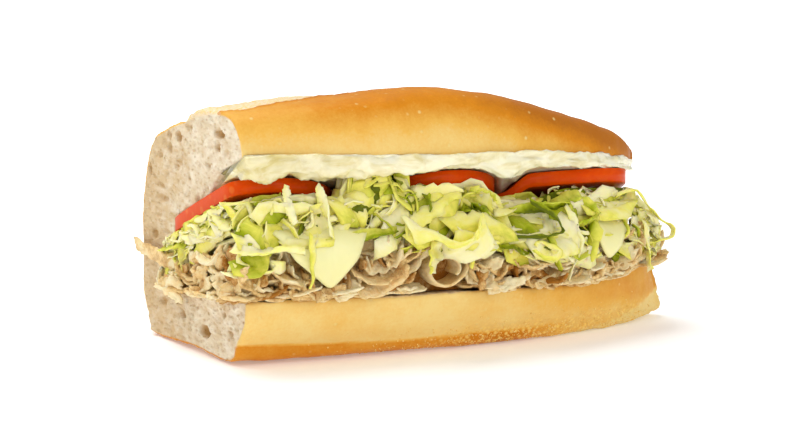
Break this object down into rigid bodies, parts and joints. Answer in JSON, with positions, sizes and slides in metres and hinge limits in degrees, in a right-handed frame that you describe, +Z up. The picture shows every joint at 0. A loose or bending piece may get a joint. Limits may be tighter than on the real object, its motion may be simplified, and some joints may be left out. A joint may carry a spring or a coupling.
{
  "type": "submarine sandwich",
  "caption": "Half of a long roll, cut across, hinged at the back and filled with shaved meat, sliced cheese, shredded lettuce, tomato and mayonnaise.",
  "frame": {"origin": "on the flat underside of the roll, midway between its cut end and its tip and midway across its width", "axes": "+X along the roll from the cut end to the tip, -Y out of the open side, +Z up"},
  "size_m": [0.1939, 0.1076, 0.0936],
  "materials": {
    "roll": "baked crust, satin; matte pale crumb at the cut",
    "mayonnaise": "wet and creamy",
    "tomato": "wet",
    "cheese": "smooth, slightly waxy",
    "lettuce": "moist",
    "meat": "moist, fibrous"
  },
  "bodies": {
    "root": {"bread_roll": "roll", "mayonnaise": "mayonnaise", "tomato_slice_1": "tomato", "tomato_slice_2": "tomato", "tomato_slice_3": "tomato", "cheese_slice_1": "cheese", "cheese_slice_2": "cheese", "cheese_slice_3": "cheese", "cheese_slice_4": "cheese", "lettuce_shreds": "lettuce", "shaved_meat": "meat"}
  },
  "joints": []
}
